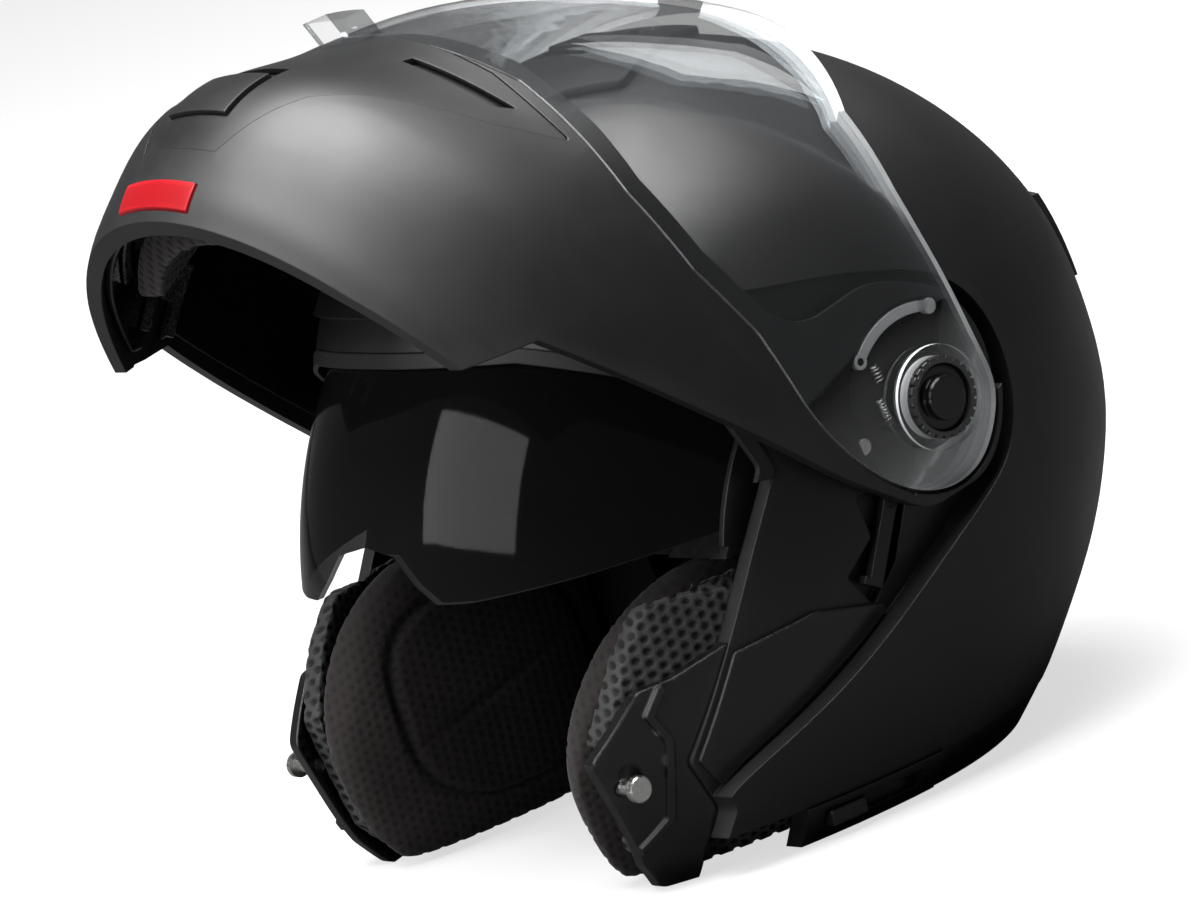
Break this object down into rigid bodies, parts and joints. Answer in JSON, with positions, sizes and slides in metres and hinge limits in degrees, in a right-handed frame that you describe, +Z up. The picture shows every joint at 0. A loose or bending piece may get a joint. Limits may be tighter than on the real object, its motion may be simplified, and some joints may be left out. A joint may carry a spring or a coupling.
{
  "type": "motorcycle helmet",
  "caption": "Modular motorcycle helmet with a chin bar that swings up, a clear visor on it, an inner sun visor, padded liners and a chin strap.",
  "frame": {"origin": "middle of the bounding box, on the flat of the lower rim", "axes": "+X to the wearer's left, -Y forward, +Z up; the helmet is symmetric about the plane X = 0"},
  "size_m": [0.26, 0.317, 0.2789],
  "materials": {
    "shell_black": "satin",
    "trim_black": "matte",
    "seal": "matte",
    "foam": "matte",
    "lining": "matte",
    "mesh": "matte",
    "clear": "gloss",
    "smoke": "gloss",
    "steel": "satin",
    "zinc": "satin",
    "red": "gloss",
    "grey": "satin",
    "webbing": "matte"
  },
  "bodies": {
    "helmet": {"outer_shell": "shell_black", "rim_trim": "trim_black", "eye_port_gasket": "seal", "side_cover_left": "trim_black", "side_cover_right": "trim_black", "jaw_plate_left": "trim_black", "jaw_plate_right": "trim_black", "lock_pin_left": "steel", "lock_pin_right": "steel", "crown_impact_liner": "foam", "cheek_impact_liner_left": "foam", "cheek_impact_liner_right": "foam", "comfort_liner": "lining", "cheek_pad_left": "lining", "cheek_pad_right": "lining", "cheek_collar_left": "mesh", "cheek_collar_right": "mesh", "neck_roll": "lining", "pivot_base_left": "trim_black", "pivot_base_right": "trim_black", "pivot_screws": "steel", "pivot_washers": "zinc", "pivot_cap_left": "trim_black", "pivot_cap_right": "trim_black", "sun_visor_pins": "steel", "sun_slider_track": "trim_black", "crown_vent_base": "shell_black", "rear_spoiler": "shell_black", "strap_left": "webbing", "strap_right": "webbing", "strap_buckle": "trim_black", "cheek_studs": "trim_black"},
    "detent_left": {"detent_lever_left": "trim_black"},
    "detent_right": {"detent_lever_right": "trim_black"},
    "sun_visor": {"sun_visor_lens": "smoke", "sun_visor_arm_left": "grey", "sun_visor_arm_right": "grey"},
    "sun_slider": {"sun_slider": "trim_black"},
    "crown_vent": {"crown_vent_slider": "shell_black"},
    "buckle": {"buckle_lever": "red"},
    "chin_bar": {"chin_shell": "shell_black", "chin_lining": "trim_black", "chin_impact_liner": "foam", "breath_pad": "lining", "chin_vent_panel": "shell_black", "mechanism_screws": "steel", "lever_springs_left": "steel", "lever_springs_right": "steel"},
    "chin_vent": {"chin_vent_slider": "shell_black"},
    "button": {"release_button": "red", "latch_link": "steel"},
    "hook_left": {"latch_hook_left": "steel"},
    "hook_right": {"latch_hook_right": "steel"},
    "visor_lever_left": {"visor_lever_left": "grey"},
    "visor_lever_right": {"visor_lever_right": "grey"},
    "visor": {"visor_lens": "clear", "pivot_ring_left": "trim_black", "pivot_ring_right": "trim_black"}
  },
  "joints": [
    {"name": "chin_bar_hinge", "type": "hinge", "parent": "helmet", "child": "chin_bar", "pos_m": [0, 0.02396, 0.123], "axis": [1, 0, 0], "range_deg": [0, 63]},
    {"name": "visor_hinge", "type": "hinge", "parent": "chin_bar", "child": "visor", "pos_m": [0, 0.02396, 0.123], "axis": [1, 0, 0], "range_deg": [-28, 0]},
    {"name": "sun_visor_hinge", "type": "hinge", "parent": "helmet", "child": "sun_visor", "pos_m": [0, 0.03336, 0.073], "axis": [1, 0, 0], "range_deg": [-32, 0]},
    {"name": "sun_slider_slide", "type": "slide", "parent": "helmet", "child": "sun_slider", "axis": [0, 1, 0], "range_m": [0, 0.024]},
    {"name": "visor_lever_left_hinge", "type": "hinge", "parent": "chin_bar", "child": "visor_lever_left", "pos_m": [0, 0.00232, 0.14116], "axis": [1, 0, 0], "range_deg": [-4, 0], "stiffness_Nm_per_rad": 0.02},
    {"name": "visor_lever_right_hinge", "type": "hinge", "parent": "chin_bar", "child": "visor_lever_right", "pos_m": [0, 0.00232, 0.14116], "axis": [1, 0, 0], "range_deg": [-4, 0], "stiffness_Nm_per_rad": 0.02},
    {"name": "button_slide", "type": "slide", "parent": "chin_bar", "child": "button", "axis": [0, 0.454, -0.891], "range_m": [0, 0.004], "stiffness_N_per_m": 200},
    {"name": "hook_left_slide", "type": "slide", "parent": "chin_bar", "child": "hook_left", "axis": [0, 0.4701, 0.8826], "range_m": [0, 0.002]},
    {"name": "hook_right_slide", "type": "slide", "parent": "chin_bar", "child": "hook_right", "axis": [0, 0.4701, 0.8826], "range_m": [0, 0.002]},
    {"name": "chin_vent_slide", "type": "slide", "parent": "chin_bar", "child": "chin_vent", "axis": [0, 0.9522, 0.3056], "range_m": [0, 0.006]},
    {"name": "crown_vent_slide", "type": "slide", "parent": "helmet", "child": "crown_vent", "axis": [0, -1, 0], "range_m": [0, 0.006]},
    {"name": "detent_left_hinge", "type": "hinge", "parent": "helmet", "child": "detent_left", "pos_m": [0, 0.00496, 0.095], "axis": [1, 0, 0], "range_deg": [-4, 3], "stiffness_Nm_per_rad": 0.05},
    {"name": "detent_right_hinge", "type": "hinge", "parent": "helmet", "child": "detent_right", "pos_m": [0, 0.00496, 0.095], "axis": [1, 0, 0], "range_deg": [-4, 3], "stiffness_Nm_per_rad": 0.05},
    {"name": "buckle_lever_hinge", "type": "hinge", "parent": "helmet", "child": "buckle", "pos_m": [0.01, 0.02596, 0.0135], "axis": [0, 1, 0], "range_deg": [0, 35]}
  ],
  "couplings": [
    {"joint": "sun_slider_slide", "follows": "sun_visor_hinge", "m_per_rad": -0.042972},
    {"joint": "hook_left_slide", "follows": "button_slide", "ratio": 0.5},
    {"joint": "hook_right_slide", "follows": "button_slide", "ratio": 0.5}
  ]
}
